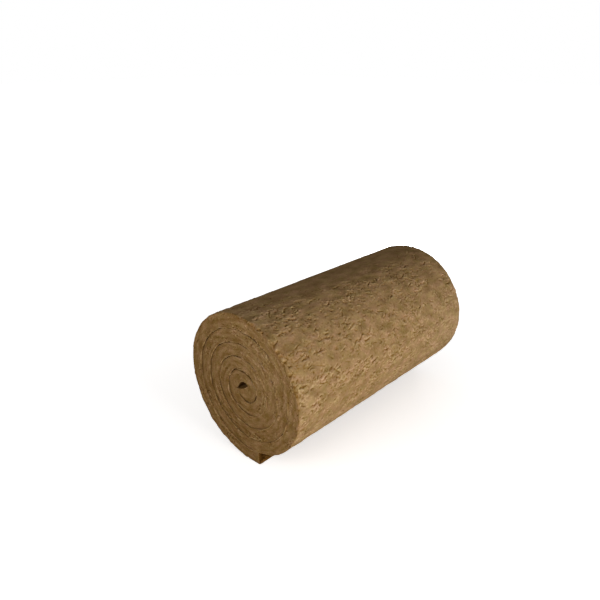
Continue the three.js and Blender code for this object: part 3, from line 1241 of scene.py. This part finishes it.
def background_rays(nodes, links):
    """One for a ray from the camera, a mirror or glass, and nothing for one that lights."""
    path = nodes.new("ShaderNodeLightPath")
    either = path.outputs["Is Camera Ray"]
    for kind in ("Is Glossy Ray", "Is Transmission Ray"):
        greater = nodes.new("ShaderNodeMath")
        greater.operation = "MAXIMUM"
        links.new(either, greater.inputs[0])
        links.new(path.outputs[kind], greater.inputs[1])
        either = greater.outputs[0]
    return either


def seen_or_lit(nodes, links, lit, seen, output):
    """One shader for the rays that light, and another one for those of the background."""
    choose = nodes.new("ShaderNodeMixShader")
    links.new(background_rays(nodes, links), choose.inputs["Fac"])
    links.new(lit.outputs[0], choose.inputs[1])
    links.new(seen.outputs[0], choose.inputs[2])
    links.new(choose.outputs[0], nodes[output].inputs["Surface"])


# %% The floor
corners = [(x * FLOOR_HALF, y * FLOOR_HALF, 0) for x, y in ((-1, -1), (1, -1), (1, 1), (-1, 1))]
floor_mesh = bpy.data.meshes.new("floor")
floor_mesh.from_pydata(corners, [], [(0, 1, 2, 3)])
floor = new_object("floor", floor_mesh)

paint, paint_nodes, paint_links = new_material("floor_paint")
diffuse = paint_nodes["Principled BSDF"]
diffuse.inputs["Base Color"].default_value = FLOOR_WHITE
diffuse.inputs["Roughness"].default_value = 1.0
diffuse.inputs["Specular IOR Level"].default_value = 0.0
from_front = paint_nodes.new("ShaderNodeVectorMath")
from_front.operation = "DISTANCE"
from_front.inputs[1].default_value = GLOW_CENTRE
brighter = paint_nodes.new("ShaderNodeMapRange")
brighter.interpolation_type = "SMOOTHSTEP"
for socket, value in zip(("From Min", "From Max", "To Min", "To Max"), GLOW_RANGE):
    brighter.inputs[socket].default_value = value
glow = paint_nodes.new("ShaderNodeEmission")
glowing = paint_nodes.new("ShaderNodeAddShader")
paint_links.new(paint_nodes.new("ShaderNodeTexCoord").outputs["Object"], from_front.inputs[0])
paint_links.new(from_front.outputs["Value"], brighter.inputs["Value"])
paint_links.new(brighter.outputs["Result"], glow.inputs["Strength"])
paint_links.new(diffuse.outputs[0], glowing.inputs[0])
paint_links.new(glow.outputs[0], glowing.inputs[1])
seen_or_lit(paint_nodes, paint_links, diffuse, glowing, "Material Output")
floor_mesh.materials.append(paint)
print("the floor is", round(2 * FLOOR_HALF), "m square")

# %% The world
world = bpy.data.worlds.new("studio")
bpy.context.scene.world = world
world.use_nodes = True
world_nodes, world_links = world.node_tree.nodes, world.node_tree.links
fill = world_nodes["Background"]
fill.inputs["Color"].default_value = FILL_COLOUR
fill.inputs["Strength"].default_value = FILL_STRENGTH
white = world_nodes.new("ShaderNodeBackground")
white.inputs["Color"].default_value = (1, 1, 1, 1)
white.inputs["Strength"].default_value = 1.0
seen_or_lit(world_nodes, world_links, fill, white, "World Output")
print("the world lights the wool with a strength of", FILL_STRENGTH)

# %% [markdown]
# Lamps
#
# A large soft lamp stands low on the right, level with the roll, so the barrel is bright
# on that side and the cut end and the top fall off into shade: light that grazes a torn
# surface shows its relief best. A weak lamp in front lifts the cut end out of that shade,
# and one behind, on the left, draws the edge of the far rim.

# %% Lamps
# Each lamp's place, what it looks at, its side in metres and its power in watts.
LAMPS = {
    "key": ((2.55, -0.45, 0.36), (0, 0, 0.28), 0.9, 52.8),
    "front": ((0.30, -1.60, 0.90), (0, 0, 0.28), 0.9, 7.6),
    "back": ((-1.20, 2.10, 0.26), (0, 0.2, 0.26), 0.5, 12.0),
}

for name, (stand, aim, side, power) in LAMPS.items():
    lamp = bpy.data.lights.new(name, "AREA")
    lamp.size = side
    lamp.energy = power
    holder = new_object(name, lamp)
    holder.location = stand
    holder.rotation_euler = (Vector(aim) - Vector(stand)).to_track_quat("-Z", "Y").to_euler()
    print("the", name, "lamp has", power, "watts")

# %% [markdown]
# The camera
#
# It stands in front on the right and looks down on the roll. Its three axes are worked out
# from the angles, and the small shifts move the frame without turning the view.

# %% The camera
CAMERA_PLACE = Vector((1.344, -1.579, 1.3215))
CAMERA_AZIMUTH = np.radians(40.436)
CAMERA_PITCH = np.radians(27.029)
CAMERA_ROLL = np.radians(0.238)
SENSOR_WIDTH, LENS = 36, 34.39
SHIFT = (-0.0603, 0.0782)

forward = Vector((-np.sin(CAMERA_AZIMUTH) * np.cos(CAMERA_PITCH),
                  np.cos(CAMERA_AZIMUTH) * np.cos(CAMERA_PITCH), -np.sin(CAMERA_PITCH)))
level_right = Vector((np.cos(CAMERA_AZIMUTH), np.sin(CAMERA_AZIMUTH), 0))
level_up = level_right.cross(forward)
right = level_right * np.cos(CAMERA_ROLL) + level_up * np.sin(CAMERA_ROLL)
up = level_up * np.cos(CAMERA_ROLL) - level_right * np.sin(CAMERA_ROLL)
view = bpy.data.cameras.new("camera")
view.sensor_width = SENSOR_WIDTH
view.lens = LENS
view.shift_x, view.shift_y = SHIFT
camera = new_object("camera", view)
camera.matrix_world = Matrix((
    (right.x, up.x, -forward.x, CAMERA_PLACE.x),
    (right.y, up.y, -forward.y, CAMERA_PLACE.y),
    (right.z, up.z, -forward.z, CAMERA_PLACE.z),
    (0, 0, 0, 1),
))
bpy.context.scene.camera = camera
bpy.context.scene.view_settings.view_transform = "Standard"
print("the camera is", round(CAMERA_PLACE.length, 2), "m from the origin")
